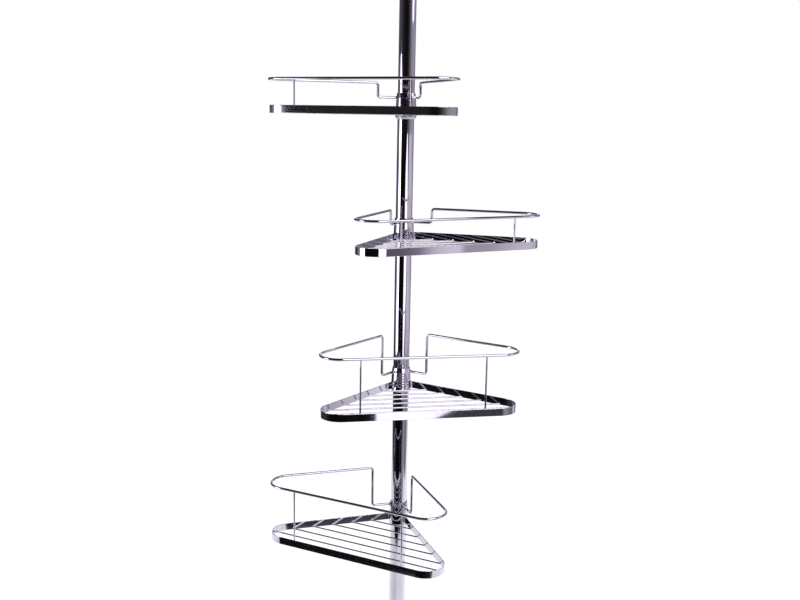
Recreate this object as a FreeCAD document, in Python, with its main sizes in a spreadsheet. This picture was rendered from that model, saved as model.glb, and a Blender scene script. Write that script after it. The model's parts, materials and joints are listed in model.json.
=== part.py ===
import FreeCAD, Part
import math
import os
import Sketcher

from FreeCAD import Placement, Rotation, Vector

# A floor-to-ceiling tension pole with four triangular wire baskets.
#
# The origin is the centre of the foot pad's underside, on the pole's axis, and +Z is up.
# A basket's own frame has its origin on the pole's axis at the underside of the rim strip,
# the basket reaches out along -Y, and it turns about +Z.

# ---------------------------------------------------------------- driving dimensions, in mm
# alias, value, what it is
DIMENSIONS = [
    ("tube_radius", 12.5, "outer radius of the pole's main tubes"),
    ("tube_wall", 0.9, "wall of the main tubes"),
    ("seam_gap", 0.2, "hairline between two main tubes"),
    ("fit_gap", 0.05, "radial gap of a piece that slides or sits in a tube"),
    ("free_gap", 0.3, "gap between pieces that must not touch"),
    ("tube_start", 8.0, "height of the lower tube's lower end"),
    ("first_seam", 575.0, "height of the seam between the lower and the middle tube"),
    ("second_seam", 1190.0, "height of the seam between the middle and the upper tube"),
    ("tube_top", 1780.0, "height of the upper tube's upper end"),
    ("joiner_reach", 35.0, "length of a joiner on each side of its seam"),
    ("joiner_wall", 2.0, "wall of a joiner"),
    ("pad_radius", 23.0, "radius of the foot pad at the floor"),
    ("pad_edge", 4.0, "height of the foot pad's upright edge"),
    ("pad_floor", 6.0, "rubber under the foot plug"),
    ("pad_neck_radius", 16.0, "radius of the foot pad's upper lip"),
    ("pad_height", 26.0, "height of the foot pad"),
    ("pad_chamfer", 1.0, "chamfer around the foot pad's and the ceiling pad's flat faces"),
    ("tread_depth", 1.5, "depth of the grooves under the foot pad"),
    ("tread_start", 9.0, "inner radius of the first groove under the foot pad"),
    ("tread_pitch", 4.0, "spacing of the grooves under the foot pad"),
    ("plug_length", 26.0, "length of the foot plug inside the tube"),
    ("plug_wall", 2.5, "wall of the foot plug"),
    ("plug_floor", 4.0, "thickness of the foot plug's closed end"),
    ("collet_grip", 28.0, "length of the collet's sleeve over the upper tube"),
    ("collet_wall", 2.1, "wall of the collet's sleeve"),
    ("collet_shoulder", 2.0, "flange of the collet over the tube's end"),
    ("collet_nose", 20.0, "length of the collet's fingers above the flange"),
    ("collet_slot", 1.5, "width of the slots between the fingers"),
    ("nose_base_radius", 14.0, "outer radius of the fingers at their root"),
    ("nose_tip_radius", 12.6, "outer radius of the fingers at their tip"),
    ("nut_radius", 18.0, "outer radius of the lock nut"),
    ("nut_skirt", 22.0, "length of the lock nut below the tube's end"),
    ("nut_crown", 6.0, "thickness of the lock nut above the fingers"),
    ("nut_chamfer", 1.2, "chamfer of the lock nut's outer edges"),
    ("flute_radius", 2.2, "radius of the lock nut's grip flutes"),
    ("flute_bite", 1.0, "depth of the lock nut's grip flutes"),
    ("extension_radius", 11.0, "outer radius of the extension tube"),
    ("extension_wall", 0.8, "wall of the extension tube"),
    ("extension_start", 1550.0, "height of the extension tube's lower end"),
    ("extension_top", 2090.0, "height of the extension tube's upper end"),
    ("bush_length", 30.0, "length of the guide bush and of the end bush"),
    ("bush_flange", 3.0, "thickness of the end bush's flange"),
    ("plunger_radius", 8.0, "outer radius of the plunger tube"),
    ("plunger_wall", 1.2, "wall of the plunger tube"),
    ("plunger_travel", 30.0, "how far the plunger can be pushed in"),
    ("plunger_spare", 3.0, "gap left between the hub and the end bush when the plunger is pushed in"),
    ("piston_length", 20.0, "length of the piston on the plunger's lower end"),
    ("piston_gap", 0.1, "radial gap of the piston in the extension tube"),
    ("spigot_length", 15.0, "length of the piston's spigot inside the plunger tube"),
    ("spring_length", 119.4, "installed length of the tension spring"),
    ("spring_radius", 8.2, "mean radius of the tension spring"),
    ("spring_wire", 0.9, "radius of the tension spring's wire"),
    ("spring_turns", 13.0, "turns of the tension spring"),
    ("stop_length", 10.0, "length of the plug under the tension spring"),
    ("cup_hub_radius", 12.0, "radius of the ceiling cup's hub"),
    ("cup_hub_length", 12.0, "length of the ceiling cup's hub"),
    ("cup_socket", 10.0, "depth of the hub's socket for the plunger tube"),
    ("cup_radius", 24.0, "radius of the ceiling cup"),
    ("cup_plate", 5.0, "thickness of the ceiling cup's plate"),
    ("ceiling_pad_radius", 26.0, "radius of the ceiling pad"),
    ("ceiling_pad_skirt", 3.0, "rubber beside the ceiling cup's plate"),
    ("ceiling_pad_floor", 6.0, "rubber above the ceiling cup's plate"),
    ("rim_front", 168.0, "pole axis to the outer face of the rim's front"),
    ("rim_apex", 9.0, "pole axis back to the point where the rim's two sides would meet"),
    ("rim_half_angle", 46.0, "angle of each side of the rim to the basket's centre line, degrees"),
    ("rim_corner", 28.5, "outer radius of the rim's front corners"),
    ("rim_height", 11.2, "height of the rim strip"),
    ("rim_thickness", 1.2, "thickness of the rim strip"),
    ("rim_edge", 0.3, "rounding of the rim strip's edges"),
    ("weld_depth", 0.4, "how deep welded pieces sink into each other"),
    ("rail_radius", 2.0, "radius of the guard rail's wire"),
    ("low_rail", 46.8, "height of the guard rail on the two upper baskets"),
    ("high_rail", 88.2, "height of the guard rail on the two lower baskets"),
    ("rail_end", 25.7, "height at which the guard rail's ends meet the collar"),
    ("rail_sink", 0.45, "how deep the guard rail's ends sink into the collar"),
    ("rail_drop", 48.0, "distance of the guard rail's drops from the rim's apex, along the side"),
    ("rail_bend", 4.5, "bend radius of the guard rail at its drops"),
    ("post_radius", 1.25, "radius of the rail posts"),
    ("post_spread", 89.0, "distance of each rail post from the centre line"),
    ("post_foot", 1.0, "height of the rail posts' lower ends"),
    ("grill_radius", 1.15, "radius of the grill wires"),
    ("grill_lift", 1.4, "height of the grill wires' centres"),
    ("grill_first", 26.0, "pole axis to the first grill wire"),
    ("grill_pitch", 21.9, "spacing of the grill wires"),
    ("collar_radius", 15.8, "outer radius of the collar at its lower end"),
    ("collar_neck", 14.6, "outer radius of the collar where its upper edge turns in"),
    ("collar_foot", 3.0, "how far the collar reaches below the rim"),
    ("collar_shoulder", 26.0, "height at which the collar's upper edge turns in"),
    ("collar_top", 32.5, "height of the collar's upper edge"),
    ("collar_lip", 13.75, "outer radius of the collar's upper edge"),
    ("collar_chamfer", 0.5, "chamfer of the collar's lower edge"),
    ("wedge_foot", 5.0, "how far the wedges reach below the rim"),
    ("wedge_top", 31.5, "height of the wedges' upper ends"),
    ("wedge_foot_radius", 14.45, "outer radius of the wedges at their lower ends"),
    ("wedge_top_radius", 13.15, "outer radius of the wedges at their upper ends"),
    ("wedge_slit", 5.0, "angle of the slit between two wedges, degrees"),
    ("top_height", 1356.5, "height of the top basket's rim"),
    ("second_height", 1172.8, "height of the second basket's rim"),
    ("third_height", 941.2, "height of the third basket's rim"),
    ("bottom_height", 722.0, "height of the bottom basket's rim"),
    ("top_angle", -26.3, "turn of the top basket about the pole, degrees"),
    ("second_angle", 27.3, "turn of the second basket, degrees"),
    ("third_angle", 11.2, "turn of the third basket, degrees"),
    ("bottom_angle", -26.6, "turn of the bottom basket, degrees"),
]
GRILL_COUNT = 7
FLUTE_COUNT = 18
TREAD_COUNT = 3
SHELVES = [("top", "low_rail"), ("second", "low_rail"), ("third", "high_rail"), ("bottom", "high_rail")]

SIZE = {alias: value for alias, value, _ in DIMENSIONS}

doc = FreeCAD.newDocument("TensionPoleShelf")
sheet = doc.addObject("Spreadsheet::Sheet", "Dims")
for row, (alias, value, note) in enumerate(DIMENSIONS, start=1):
    sheet.set(f"A{row}", note)
    sheet.set(f"B{row}", str(value))
    sheet.setAlias(f"B{row}", alias)
doc.recompute()

nodes = []


def from_sheet(expression):
    """Put the sheet's name in front of each alias in an expression."""
    words = []
    word = ""
    for letter in expression + " ":
        if letter.isalnum() or letter == "_":
            word += letter
            continue
        words.append("Dims." + word if word in SIZE else word)
        words.append(letter)
        word = ""
    return "".join(words).strip()


def bind(item, prop, expression):
    item.setExpression(prop, from_sheet(expression))


def node(item, label):
    """Register a finished sub-part under its node name."""
    item.Label = label
    nodes.append(item)
    return item


def place(item, shelf, turn="0"):
    """Bind a sub-part's placement to its basket's height and angle, with a turn of its own added."""
    bind(item, "Placement.Base.z", f"{shelf}_height")
    bind(item, "Placement.Rotation.Angle", f"({shelf}_angle + {turn}) * 1 deg")


# ---------------------------------------------------------------- shared ways of making a piece
def new_sketch(body, name, plane):
    sketch = body.newObject("Sketcher::SketchObject", name)
    origin_plane = [feature for feature in body.Origin.OriginFeatures if feature.Role == plane][0]
    sketch.AttachmentSupport = [(origin_plane, "")]
    sketch.MapMode = "FlatFace"
    return sketch


def add_polygon(sketch, corners):
    """A closed polygon: each corner is a pair of expressions for its two sketch coordinates."""
    count = len(corners)
    start = [Vector(math.cos(math.tau * i / count), math.sin(math.tau * i / count), 0) for i in range(count)]
    for i in range(count):
        sketch.addGeometry(Part.LineSegment(start[i], start[(i + 1) % count]), False)
    for i in range(count):
        sketch.addConstraint(Sketcher.Constraint("Coincident", i, 2, (i + 1) % count, 1))
    for i, (across, upward) in enumerate(corners):
        first = sketch.addConstraint(Sketcher.Constraint("DistanceX", -1, 1, i, 1, start[i].x))
        second = sketch.addConstraint(Sketcher.Constraint("DistanceY", -1, 1, i, 1, start[i].y))
        bind(sketch, f"Constraints[{first}]", across)
        bind(sketch, f"Constraints[{second}]", upward)


def turned(label, corners, angle="360"):
    """A piece of revolution about Z: each corner of its section is (radius, height)."""
    body = doc.addObject("PartDesign::Body", label)
    sketch = new_sketch(body, label + "_section", "XZ_Plane")
    add_polygon(sketch, corners)
    revolution = body.newObject("PartDesign::Revolution", label + "_turn")
    revolution.Profile = sketch
    revolution.ReferenceAxis = (sketch, ["V_Axis"])
    revolution.Midplane = True
    bind(revolution, "Angle", f"({angle}) * 1 deg")
    doc.recompute()
    return body


def ring(label, inner, outer, low, high):
    return turned(label, [(inner, low), (outer, low), (outer, high), (inner, high)])


def cut_all_through(body, sketch, name, copies="1"):
    """Pocket a sketch upwards through everything above it, and repeat the cut around Z."""
    pocket = body.newObject("PartDesign::Pocket", name)
    pocket.Profile = sketch
    pocket.Type = "ThroughAll"
    pocket.Reversed = True
    before = body.Shape.Volume
    doc.recompute()
    if pocket.Shape.Volume >= before - 0.01:
        raise ValueError(name + " cuts nothing")
    if copies == "1":
        return pocket
    pattern = body.newObject("PartDesign::PolarPattern", name + "_pattern")
    pattern.Originals = [pocket]
    pattern.Axis = ([axis for axis in body.Origin.OriginFeatures if axis.Role == "Z_Axis"][0], [""])
    pattern.Angle = 360
    bind(pattern, "Occurrences", copies)
    body.Tip = pattern
    doc.recompute()
    return pattern


def rounded(points, radii):
    """Curves of a path through points, with a tangent arc at each inner point."""
    curves = []
    begin = points[0]
    for before, corner, after, radius in zip(points, points[1:], points[2:], radii):
        to_before = (before - corner).normalize()
        to_after = (after - corner).normalize()
        half_turn = to_before.getAngle(to_after) / 2
        first = corner + to_before * (radius / math.tan(half_turn))
        last = corner + to_after * (radius / math.tan(half_turn))
        inward = (to_before + to_after).normalize()
        middle = corner + inward * (radius / math.sin(half_turn) - radius)
        curves.append(Part.LineSegment(begin, first))
        curves.append(Part.Arc(first, middle, last))
        begin = last
    curves.append(Part.LineSegment(begin, points[-1]))
    return curves


def rim_corners(height=0.0):
    """The apex, the left and the right corner of the rim's outer faces, were they not rounded."""
    reach = SIZE["rim_apex"] + SIZE["rim_front"]
    half_width = reach * math.tan(math.radians(SIZE["rim_half_angle"]))
    apex = Vector(0, SIZE["rim_apex"], height)
    left = Vector(-half_width, -SIZE["rim_front"], height)
    right = Vector(half_width, -SIZE["rim_front"], height)
    return apex, left, right


def add_rim_outline(sketch, inset):
    """The rim's rounded triangle, moved inwards by the expression inset, as a constrained loop."""
    apex, left, right = rim_corners()
    corner = SIZE["rim_corner"]
    side_left, arc_left, front, arc_right, side_right = [
        sketch.addGeometry(curve, False) for curve in rounded([apex, left, right, apex], [corner, corner])
    ]
    loop = [side_left, arc_left, front, arc_right, side_right]
    for before, after in zip(loop, loop[1:]):
        sketch.addConstraint(Sketcher.Constraint("Tangent", before, 2, after, 1))
    sketch.addConstraint(Sketcher.Constraint("Coincident", side_right, 2, side_left, 1))
    sketch.addConstraint(Sketcher.Constraint("PointOnObject", side_left, 1, -2))
    sketch.addConstraint(Sketcher.Constraint("Horizontal", front))
    half_angle = SIZE["rim_half_angle"]
    driven = [
        (Sketcher.Constraint("Angle", side_left, math.radians(-90 - half_angle)),
         "(-90 - rim_half_angle) * 1 deg"),
        (Sketcher.Constraint("Angle", side_right, math.radians(90 + half_angle)),
         "(90 + rim_half_angle) * 1 deg"),
        (Sketcher.Constraint("DistanceY", -1, 1, side_left, 1, apex.y),
         f"rim_apex - ({inset}) / sin(rim_half_angle * 1 deg)"),
        (Sketcher.Constraint("DistanceY", -1, 1, front, 1, left.y), f"({inset}) - rim_front"),
        (Sketcher.Constraint("Radius", arc_left, corner), f"rim_corner - ({inset})"),
        (Sketcher.Constraint("Radius", arc_right, corner), f"rim_corner - ({inset})"),
    ]
    for constraint, expression in driven:
        index = sketch.addConstraint(constraint)
        bind(sketch, f"Constraints[{index}]", expression)


def straight_wire(name, radius, length, position, rotation=Rotation()):
    """A straight round wire: position is three expressions."""
    wire = doc.addObject("Part::Cylinder", name)
    bind(wire, "Radius", radius)
    bind(wire, "Height", length)
    wire.Placement = Placement(Vector(), rotation)
    for axis, expression in zip("xyz", position):
        bind(wire, f"Placement.Base.{axis}", expression)
    return wire


def group(name, members):
    compound = doc.addObject("Part::Compound", name)
    compound.Links = members
    return compound


def swept_wire(name, path, radius, start, rotation, frenet=False):
    """A round wire along a path object, with its section's centre and direction at the start."""
    section = doc.addObject("Part::Circle", name + "_section")
    bind(section, "Radius", radius)
    section.Placement = Placement(start, rotation)
    sweep = doc.addObject("Part::Sweep", name)
    sweep.Sections = [section]
    sweep.Spine = (path, [])
    sweep.Solid = True
    sweep.Frenet = frenet
    return sweep


# ---------------------------------------------------------------- the pole's fixed pieces
TUBE_BORE = "tube_radius - tube_wall"


def make_foot():
    grooves = []
    for i in range(TREAD_COUNT):
        inner = f"tread_start + {i} * tread_pitch"
        outer = f"tread_start + ({i} + 0.5) * tread_pitch"
        grooves += [(inner, "0"), (inner, "tread_depth"), (outer, "tread_depth"), (outer, "0")]
    node(turned("foot_pad", [("0", "0")] + grooves + [
        ("pad_radius - pad_chamfer", "0"),
        ("pad_radius", "pad_chamfer"),
        ("pad_radius", "pad_edge"),
        ("pad_neck_radius", "pad_height"),
        ("tube_radius", "pad_height"),
        ("tube_radius", "pad_floor"),
        ("0", "pad_floor"),
    ]), "foot_pad")
    plug_radius = f"{TUBE_BORE} - fit_gap"
    node(turned("foot_plug", [
        ("0", "pad_floor"),
        ("tube_radius", "pad_floor"),
        ("tube_radius", "tube_start"),
        (plug_radius, "tube_start"),
        (plug_radius, "tube_start + plug_length"),
        (f"{plug_radius} - plug_wall", "tube_start + plug_length"),
        (f"{plug_radius} - plug_wall", "pad_floor + plug_floor"),
        ("0", "pad_floor + plug_floor"),
    ]), "foot_plug")


def make_tubes():
    spans = [
        ("lower_tube", "tube_start", "first_seam - seam_gap / 2"),
        ("middle_tube", "first_seam + seam_gap / 2", "second_seam - seam_gap / 2"),
        ("upper_tube", "second_seam + seam_gap / 2", "tube_top"),
    ]
    for name, low, high in spans:
        node(ring(name, TUBE_BORE, "tube_radius", low, high), name)
    for name, seam in [("lower_joiner", "first_seam"), ("upper_joiner", "second_seam")]:
        outer = f"{TUBE_BORE} - fit_gap"
        node(ring(name, f"{outer} - joiner_wall", outer, f"{seam} - joiner_reach",
                  f"{seam} + joiner_reach"), name)


COLLET_BORE = "extension_radius + fit_gap"
NOSE_FOOT = "tube_top + collet_shoulder"
NOSE_TIP = "tube_top + collet_shoulder + collet_nose"


def make_lock_collet():
    sleeve = "tube_radius + collet_wall"
    body = turned("lock_collet", [
        ("tube_radius + fit_gap", "tube_top - collet_grip"),
        (sleeve, "tube_top - collet_grip"),
        (sleeve, NOSE_FOOT),
        ("nose_base_radius", NOSE_FOOT),
        ("nose_tip_radius", NOSE_TIP),
        (COLLET_BORE, NOSE_TIP),
        (COLLET_BORE, "tube_top"),
        ("tube_radius + fit_gap", "tube_top"),
    ])
    sketch = new_sketch(body, "collet_slot_outline", "XY_Plane")
    bind(sketch, "AttachmentOffset.Base.z", f"{NOSE_FOOT} + collet_slot")
    add_polygon(sketch, [
        ("0", "-collet_slot / 2"),
        ("tube_radius + collet_wall", "-collet_slot / 2"),
        ("tube_radius + collet_wall", "collet_slot / 2"),
        ("0", "collet_slot / 2"),
    ])
    cut_all_through(body, sketch, "collet_slots", copies="4")
    node(body, "lock_collet")


def make_lock_nut():
    body = turned("lock_nut", [
        ("tube_radius + collet_wall + free_gap", "tube_top - nut_skirt"),
        ("nut_radius - nut_chamfer", "tube_top - nut_skirt"),
        ("nut_radius", "tube_top - nut_skirt + nut_chamfer"),
        ("nut_radius", f"{NOSE_TIP} + nut_crown - nut_chamfer"),
        ("nut_radius - nut_chamfer", f"{NOSE_TIP} + nut_crown"),
        ("extension_radius + free_gap", f"{NOSE_TIP} + nut_crown"),
        ("extension_radius + free_gap", f"{NOSE_TIP} + free_gap"),
        ("nose_tip_radius + free_gap", f"{NOSE_TIP} + free_gap"),
        ("nose_base_radius + free_gap", f"{NOSE_FOOT} + free_gap"),
        ("tube_radius + collet_wall + free_gap", f"{NOSE_FOOT} + free_gap"),
    ])
    sketch = new_sketch(body, "flute_outline", "XY_Plane")
    circle = sketch.addGeometry(Part.Circle(Vector(SIZE["nut_radius"], 0, 0), Vector(0, 0, 1), 1), False)
    sketch.addConstraint(Sketcher.Constraint("PointOnObject", circle, 3, -1))
    centre = sketch.addConstraint(Sketcher.Constraint("DistanceX", -1, 1, circle, 3, SIZE["nut_radius"]))
    bind(sketch, f"Constraints[{centre}]", "nut_radius + flute_radius - flute_bite")
    radius = sketch.addConstraint(Sketcher.Constraint("Radius", circle, 1))
    bind(sketch, f"Constraints[{radius}]", "flute_radius")
    cut_all_through(body, sketch, "flutes", copies=str(FLUTE_COUNT))
    node(body, "lock_nut")


# ---------------------------------------------------------------- the sprung extension
EXTENSION_BORE = "extension_radius - extension_wall"
PISTON_TOP = "extension_top - bush_length - free_gap"
SPRING_TOP = f"{PISTON_TOP} - piston_length - fit_gap"
SPRING_FOOT = f"{SPRING_TOP} - spring_length"
HUB_FOOT = "extension_top + bush_flange + plunger_travel + plunger_spare"
PLATE_FOOT = f"{HUB_FOOT} + cup_hub_length"
PLATE_TOP = f"{PLATE_FOOT} + cup_plate"


def make_extension():
    node(ring("extension_tube", EXTENSION_BORE, "extension_radius", "extension_start",
              "extension_top"), "extension_tube")
    node(ring("guide_bush", "extension_radius", f"{TUBE_BORE} - fit_gap", "extension_start",
              "extension_start + bush_length"), "guide_bush")
    node(ring("spring_stop", "0", f"{EXTENSION_BORE} - fit_gap",
              f"{SPRING_FOOT} - fit_gap - stop_length", f"{SPRING_FOOT} - fit_gap"), "spring_stop")


def make_end_bush():
    bush_bore = "plunger_radius + fit_gap"
    sleeve = f"{EXTENSION_BORE} - fit_gap"
    node(turned("end_bush", [
        (bush_bore, "extension_top - bush_length"),
        (sleeve, "extension_top - bush_length"),
        (sleeve, "extension_top"),
        ("extension_radius", "extension_top"),
        ("extension_radius", "extension_top + bush_flange"),
        (bush_bore, "extension_top + bush_flange"),
    ]), "end_bush")


def make_spring():
    coil = doc.addObject("Part::Helix", "spring_path")
    bind(coil, "Radius", "spring_radius")
    bind(coil, "Height", "spring_length - 2 * spring_wire")
    bind(coil, "Pitch", "(spring_length - 2 * spring_wire) / spring_turns")
    doc.recompute()
    spring = swept_wire("tension_spring", coil, "spring_wire", Vector(SIZE["spring_radius"], 0, 0),
                        Rotation(Vector(1, 0, 0), 90), frenet=True)
    bind(spring, "Placement.Base.z", f"{SPRING_FOOT} + spring_wire")
    node(spring, "tension_spring")


def make_plunger():
    plunger_bore = "plunger_radius - plunger_wall"
    piston = f"{EXTENSION_BORE} - piston_gap"
    node(turned("plunger_piston", [
        ("0", f"{PISTON_TOP} - piston_length"),
        (piston, f"{PISTON_TOP} - piston_length"),
        (piston, PISTON_TOP),
        (f"{plunger_bore} - fit_gap", PISTON_TOP),
        (f"{plunger_bore} - fit_gap", f"{PISTON_TOP} + spigot_length"),
        ("0", f"{PISTON_TOP} + spigot_length"),
    ]), "plunger_piston")
    node(ring("plunger_tube", plunger_bore, "plunger_radius", PISTON_TOP,
              f"{HUB_FOOT} + cup_socket"), "plunger_tube")
    node(turned("ceiling_cup", [
        ("plunger_radius", HUB_FOOT),
        ("cup_hub_radius", HUB_FOOT),
        ("cup_hub_radius", PLATE_FOOT),
        ("cup_radius", PLATE_FOOT),
        ("cup_radius", PLATE_TOP),
        ("0", PLATE_TOP),
        ("0", f"{HUB_FOOT} + cup_socket"),
        ("plunger_radius", f"{HUB_FOOT} + cup_socket"),
    ]), "ceiling_cup")
    pad_top = f"{PLATE_TOP} + ceiling_pad_floor"
    node(turned("ceiling_pad", [
        ("cup_radius", f"{PLATE_TOP} - ceiling_pad_skirt"),
        ("ceiling_pad_radius", f"{PLATE_TOP} - ceiling_pad_skirt"),
        ("ceiling_pad_radius", f"{pad_top} - pad_chamfer"),
        ("ceiling_pad_radius - pad_chamfer", pad_top),
        ("0", pad_top),
        ("0", PLATE_TOP),
        ("cup_radius", PLATE_TOP),
    ]), "ceiling_pad")


# ---------------------------------------------------------------- one basket
def collar_cone(height):
    """Outer radius of the collar's cone at a height, as an expression."""
    drop = f"(collar_radius - collar_neck) * (({height}) + collar_foot)"
    return f"collar_radius - {drop} / (collar_shoulder + collar_foot)"


def make_rim(shelf):
    """A flat strip bent to a rounded triangle, open at the collar, with its long edges rounded."""
    name = f"{shelf}_rim_strip"
    body = doc.addObject("PartDesign::Body", name)
    outline = new_sketch(body, name + "_outline", "XY_Plane")
    add_rim_outline(outline, "0")
    pad = body.newObject("PartDesign::Pad", name + "_pad")
    pad.Profile = outline
    bind(pad, "Length", "rim_height")
    doc.recompute()
    opening = new_sketch(body, name + "_opening", "XY_Plane")
    add_rim_outline(opening, "rim_thickness")
    cut_all_through(body, opening, name + "_hollow")
    seat = new_sketch(body, name + "_seat", "XY_Plane")
    circle = seat.addGeometry(Part.Circle(Vector(), Vector(0, 0, 1), SIZE["collar_radius"]), False)
    seat.addConstraint(Sketcher.Constraint("Coincident", circle, 3, -1, 1))
    radius = seat.addConstraint(Sketcher.Constraint("Radius", circle, SIZE["collar_radius"]))
    bind(seat, f"Constraints[{radius}]", f"{collar_cone('rim_height')} - weld_depth")
    cut_all_through(body, seat, name + "_seat_cut")
    edges = [
        f"Edge{i}" for i, edge in enumerate(body.Shape.Edges, start=1)
        if edge.Length > 2 * SIZE["rim_height"]
    ]
    strip = body.Tip
    fillet = body.newObject("PartDesign::Fillet", name + "_edges")
    fillet.Base = (strip, edges)
    bind(fillet, "Radius", "rim_edge")
    doc.recompute()
    place(node(body, name), shelf)


def make_grill(shelf):
    """Wires parallel to the front, trimmed half way into the rim strip."""
    name = f"{shelf}_grill_wires"
    wires = [
        straight_wire(f"{name}_{i + 1}", "grill_radius", "2 * rim_front",
                      ("-rim_front", f"-grill_first - {i} * grill_pitch", "grill_lift"),
                      Rotation(Vector(0, 1, 0), 90))
        for i in range(GRILL_COUNT)
    ]
    trim = doc.addObject("PartDesign::Body", name + "_trim")
    outline = new_sketch(trim, name + "_trim_outline", "XY_Plane")
    add_rim_outline(outline, "rim_thickness / 2")
    pad = trim.newObject("PartDesign::Pad", name + "_trim_pad")
    pad.Profile = outline
    bind(pad, "Length", "rim_height")
    grill = doc.addObject("Part::MultiCommon", name)
    grill.Shapes = [group(name + "_uncut", wires), trim]
    place(node(grill, name), shelf)


def make_rail(shelf, rail_height):
    """A wire that follows the rim's outline and drops to the collar at both ends."""
    name = f"{shelf}_guard_rail"
    apex, left, right = rim_corners()
    along_left = (left - apex).normalize()
    along_right = (right - apex).normalize()
    contact = SIZE["collar_neck"] - SIZE["rail_sink"]
    behind = SIZE["rim_apex"] * math.cos(math.radians(SIZE["rim_half_angle"]))
    aside = SIZE["rim_apex"] * math.sin(math.radians(SIZE["rim_half_angle"]))
    to_collar = behind + math.sqrt(contact ** 2 - aside ** 2)
    low = Vector(0, 0, SIZE["rail_end"])
    high = Vector(0, 0, SIZE[rail_height])
    drop = SIZE["rail_drop"]
    points = [
        apex + along_left * to_collar + low,
        apex + along_left * drop + low,
        apex + along_left * drop + high,
        left + high,
        right + high,
        apex + along_right * drop + high,
        apex + along_right * drop + low,
        apex + along_right * to_collar + low,
    ]
    bend = SIZE["rail_bend"]
    corner = SIZE["rim_corner"]
    curves = rounded(points, [bend, bend, corner, corner, bend, bend])
    path = doc.addObject("Part::Feature", name + "_path")
    path.Shape = Part.Wire([curve.toShape() for curve in curves])
    rail = swept_wire(name, path, "rail_radius", points[0], Rotation(Vector(0, 0, 1), along_left))
    place(node(rail, name), shelf)


def make_posts(shelf, rail_height):
    """Two upright wires inside the rim's front, from its foot up to the guard rail."""
    name = f"{shelf}_rail_posts"
    reach = "-(rim_front - rim_thickness - post_radius + weld_depth)"
    posts = [
        straight_wire(f"{name}_{side}", "post_radius", f"{rail_height} - post_foot",
                      (f"{sign}post_spread", reach, "post_foot"))
        for side, sign in [("left", "-"), ("right", "")]
    ]
    place(node(group(name, posts), name), shelf)


def wedge_radius(height):
    """Outer radius of the wedges' cone at a height, as an expression."""
    drop = f"(wedge_foot_radius - wedge_top_radius) * (({height}) + wedge_foot)"
    return f"wedge_foot_radius - {drop} / (wedge_foot + wedge_top)"


def make_collar(shelf):
    """The basket's conical sleeve, which sits on the cone of the wedges."""
    name = f"{shelf}_collar"
    place(node(turned(name, [
        (f"{wedge_radius('-collar_foot')} + fit_gap", "-collar_foot"),
        ("collar_radius - collar_chamfer", "-collar_foot"),
        (collar_cone("collar_chamfer - collar_foot"), "collar_chamfer - collar_foot"),
        ("collar_neck", "collar_shoulder"),
        ("collar_lip", "collar_top"),
        (f"{wedge_radius('collar_top')} + fit_gap", "collar_top"),
    ]), name), shelf)


def make_wedges(shelf):
    """Two half cones that grip the pole inside the collar."""
    for side, turn in [("right", "0"), ("left", "180")]:
        name = f"{shelf}_wedge_{side}"
        place(node(turned(name, [
            ("tube_radius + fit_gap", "-wedge_foot"),
            ("wedge_foot_radius", "-wedge_foot"),
            ("wedge_top_radius", "wedge_top"),
            ("tube_radius + fit_gap", "wedge_top"),
        ], angle="180 - wedge_slit"), name), shelf, turn)


# ---------------------------------------------------------------- the whole unit
make_foot()
make_tubes()
make_lock_collet()
make_lock_nut()
make_extension()
make_end_bush()
make_spring()
make_plunger()
for shelf, rail_height in SHELVES:
    make_collar(shelf)
    make_wedges(shelf)
    make_rim(shelf)
    make_grill(shelf)
    make_rail(shelf, rail_height)
    make_posts(shelf, rail_height)
doc.recompute()

for item in doc.Objects:
    if "Invalid" in item.State or "Error" in item.State:
        raise ValueError(item.Label + " did not compute")
for item in nodes:
    if item.Shape.isNull() or not item.Shape.isValid() or not item.Shape.Solids:
        raise ValueError(item.Label + " has no valid solid")

os.makedirs("parts", exist_ok=True)
for item in nodes:
    item.Shape.exportStep(f"parts/{item.Label}.step")
    print(item.Label, len(item.Shape.Solids), "solids", round(item.Shape.Volume, 1), "mm3")
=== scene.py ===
import json
import math

import bmesh
import bpy
from mathutils import Matrix, Vector


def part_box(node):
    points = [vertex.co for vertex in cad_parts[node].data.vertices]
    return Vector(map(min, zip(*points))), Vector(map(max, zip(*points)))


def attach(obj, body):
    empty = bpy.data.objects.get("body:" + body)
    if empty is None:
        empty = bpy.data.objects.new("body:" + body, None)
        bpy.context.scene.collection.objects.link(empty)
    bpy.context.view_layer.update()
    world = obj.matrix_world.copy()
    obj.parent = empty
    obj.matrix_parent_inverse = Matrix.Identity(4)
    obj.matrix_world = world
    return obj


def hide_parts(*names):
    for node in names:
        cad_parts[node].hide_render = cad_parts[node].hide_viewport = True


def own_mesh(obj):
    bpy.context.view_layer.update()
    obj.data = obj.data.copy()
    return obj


# Looks of a floor-to-ceiling tension pole with four wire baskets, all in bright chrome.
#
# Sizes are in millimetres and angles in degrees, and MM turns a size into Blender's metres.
# A basket is built in its own frame: the pole's axis is its Z, the rim's underside is at
# height 0, and it reaches out along -Y.
MM = 0.001
SHARP_ANGLE = 40
WIRE_SIDES = 20
TUBE_SIDES = 112
ARC_STEP = 6
SMALL_ARC_STEP = 18
FLAT_MARGIN = 0.06
MERGE_DISTANCE = 1e-6

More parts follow.
